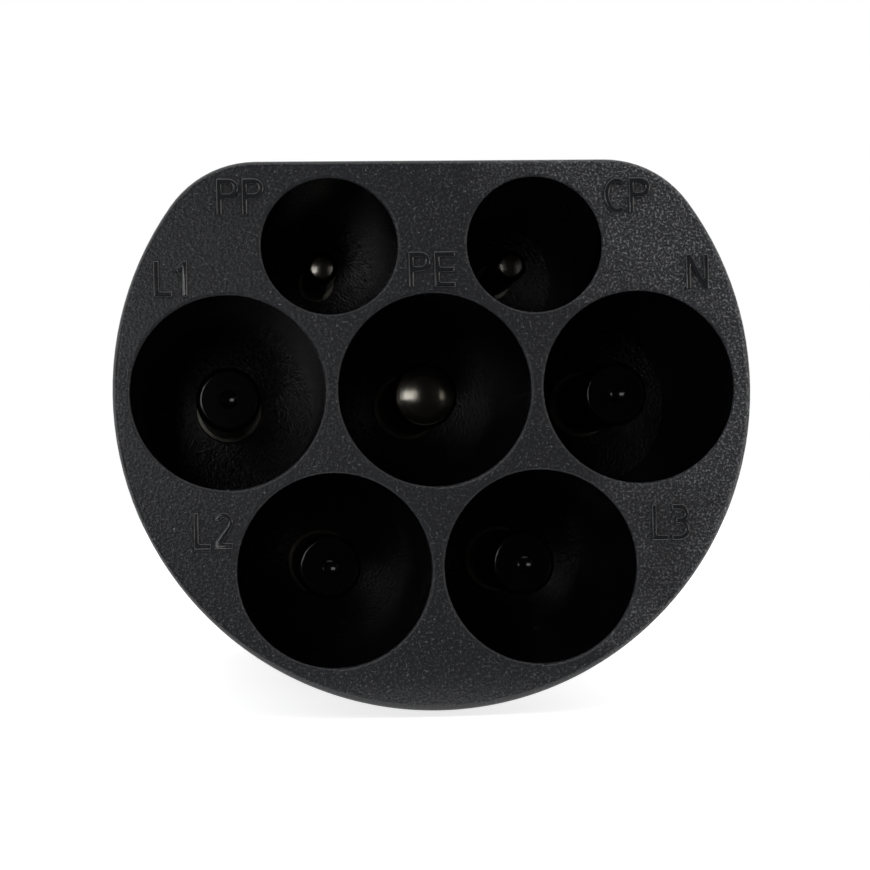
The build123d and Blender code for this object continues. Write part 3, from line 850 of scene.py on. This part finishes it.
def build_room(context, settings):
    """World that is white to look at and lights the plug evenly and weakly."""
    world = bpy.data.worlds.new("studio_room")
    world.use_nodes = True
    tree = world.node_tree
    tree.nodes.clear()
    even = add_node(
        tree, "ShaderNodeBackground", {"Color": linear("#FFFFFF"), "Strength": settings.room_light}
    )
    white = add_node(tree, "ShaderNodeBackground", {"Color": linear("#FFFFFF"), "Strength": 1.0})
    seen = rays_that_see(tree)
    mixed = add_node(tree, "ShaderNodeMixShader", {0: (seen, 0), 1: (even, 0), 2: (white, 0)})
    add_node(tree, "ShaderNodeOutputWorld", {"Surface": (mixed, 0)})
    context.scene.world = world


# Boards of the flag behind the camera, as the ranges of x and z in metres that they stand in.
# Between them, two windows show the softboxes to the pin tips.
FLAG_Y = -0.33
FLAG_BOARDS = [
    ((-0.45, -0.15), (0.0, 0.36)),
    ((-0.15, -0.048), (0.0, 0.018)),
    ((-0.15, -0.048), (0.078, 0.36)),
    ((-0.048, 0.155), (0.0, 0.36)),
    ((0.155, 0.245), (0.0, 0.018)),
    ((0.155, 0.245), (0.08, 0.36)),
    ((0.245, 0.50), (0.0, 0.36)),
]
# Board on the floor before the face: its width and depth, and its middle
FLOOR_BOARD_SIZE = (0.6, 0.24)
FLOOR_BOARD_PLACE = (0, -0.21, 0.0004)


def build_flag():
    """Matt black boards behind the camera and one before the face, seen in reflections only."""
    # Without them the face and the pin tips mirror the white room, which the photograph doesn't show
    shape = bmesh.new()
    bmesh.ops.create_grid(shape, x_segments=1, y_segments=1, size=0.5)
    bmesh.ops.scale(shape, verts=shape.verts, vec=(*FLOOR_BOARD_SIZE, 1))
    bmesh.ops.translate(shape, verts=shape.verts, vec=FLOOR_BOARD_PLACE)
    for (left, right), (low, high) in FLAG_BOARDS:
        middle = Matrix.Translation(((left + right) / 2, FLAG_Y, (low + high) / 2))
        stretch = Matrix.Diagonal((right - left, 1, high - low, 1))
        stand = Matrix.Rotation(math.radians(90), 4, "X")
        place = middle @ stretch @ stand
        bmesh.ops.create_grid(shape, x_segments=1, y_segments=1, size=0.5, matrix=place)
    mesh = bpy.data.meshes.new("black_flag")
    shape.to_mesh(mesh)
    shape.free()
    flag = bpy.data.objects.new("black_flag", mesh)
    bpy.context.scene.collection.objects.link(flag)
    for sight in ("visible_camera", "visible_diffuse", "visible_shadow"):
        setattr(flag, sight, False)
    material = bpy.data.materials.new("black_flock_board")
    material.use_nodes = True
    tree = material.node_tree
    tree.nodes.clear()
    flock = add_node(tree, "ShaderNodeBsdfDiffuse", {"Color": linear("#1A1A1A")})
    finish_material(tree, flock)
    mesh.materials.append(material)


def add_softbox(name, power, place, size, tint):
    """Rectangular soft lamp that points at the middle of the face."""
    lamp = bpy.data.lights.new(name, "AREA")
    lamp.shape = "RECTANGLE"
    lamp.size, lamp.size_y = size
    lamp.energy = power
    lamp.color = linear(tint)[:3]
    holder = bpy.data.objects.new(name, lamp)
    target = Vector((AXIS_X, FACE_Y, AXIS_Z))
    holder.location = place
    holder.rotation_euler = (target - Vector(place)).to_track_quat("-Z", "Y").to_euler()
    bpy.context.scene.collection.objects.link(holder)


# Camera: its place in millimetres from the earth pin's axis at the face, how far it is turned to
# the right, tipped up and rolled in degrees, and its lens on a 36 mm wide sensor
CAMERA_PLACE = (-17.5, -208, -10.45)
CAMERA_TURN = (4.78, 1.77, -1.08)
CAMERA_LENS = 98.67


def build_camera(context):
    """Camera where the photograph was taken from: a little left, low and very slightly turned."""
    camera = bpy.data.cameras.new("camera")
    camera.sensor_width = 36
    camera.lens = CAMERA_LENS
    camera.clip_start = 0.01
    holder = bpy.data.objects.new("camera", camera)
    yaw, pitch, roll = (math.radians(angle) for angle in CAMERA_TURN)
    ahead = Vector((math.sin(yaw) * math.cos(pitch), math.cos(yaw) * math.cos(pitch), math.sin(pitch)))
    level = Vector((math.cos(yaw), -math.sin(yaw), 0))
    upright = level.cross(ahead)
    right = level * math.cos(roll) + upright * math.sin(roll)
    up = upright * math.cos(roll) - level * math.sin(roll)
    turn = Matrix((right, up, -ahead)).transposed().to_4x4()
    away = Vector((AXIS_X, FACE_Y, AXIS_Z)) + Vector(CAMERA_PLACE) * MM
    holder.matrix_world = Matrix.Translation(away) @ turn
    context.scene.collection.objects.link(holder)
    context.scene.camera = holder


class PLUG_PT_look(bpy.types.Panel):
    bl_idname = "PLUG_PT_look"
    bl_label = "Charging Plug"
    bl_space_type = "VIEW_3D"
    bl_region_type = "UI"
    bl_category = "Charging Plug"

    def draw(self, context):
        scene = context.scene
        for settings in (scene.plug_lettering, scene.plug_finishes, scene.plug_studio):
            box = self.layout.box()
            for name in settings.__annotations__:
                box.prop(settings, name)
        for step in STEPS:
            self.layout.operator(step.bl_idname)


STEPS = (
    PLUG_OT_finish_nose,
    PLUG_OT_raise_designations,
    PLUG_OT_finish_contacts,
    PLUG_OT_finish_seals,
    PLUG_OT_finish_housing,
    PLUG_OT_build_studio,
)
CLASSES = (LetteringSettings, FinishSettings, StudioSettings, *STEPS, PLUG_PT_look)


def register():
    for cls in CLASSES:
        bpy.utils.register_class(cls)
    bpy.types.Scene.plug_lettering = PointerProperty(type=LetteringSettings)
    bpy.types.Scene.plug_finishes = PointerProperty(type=FinishSettings)
    bpy.types.Scene.plug_studio = PointerProperty(type=StudioSettings)


def unregister():
    del bpy.types.Scene.plug_studio
    del bpy.types.Scene.plug_finishes
    del bpy.types.Scene.plug_lettering
    for cls in reversed(CLASSES):
        bpy.utils.unregister_class(cls)


def main():
    """Runs every step in order."""
    register()
    bpy.ops.charging_plug.finish_nose()
    bpy.ops.charging_plug.raise_designations()
    bpy.ops.charging_plug.finish_contacts()
    bpy.ops.charging_plug.finish_seals()
    bpy.ops.charging_plug.finish_housing()
    bpy.ops.charging_plug.build_studio()


if __name__ == "__main__":
    main()
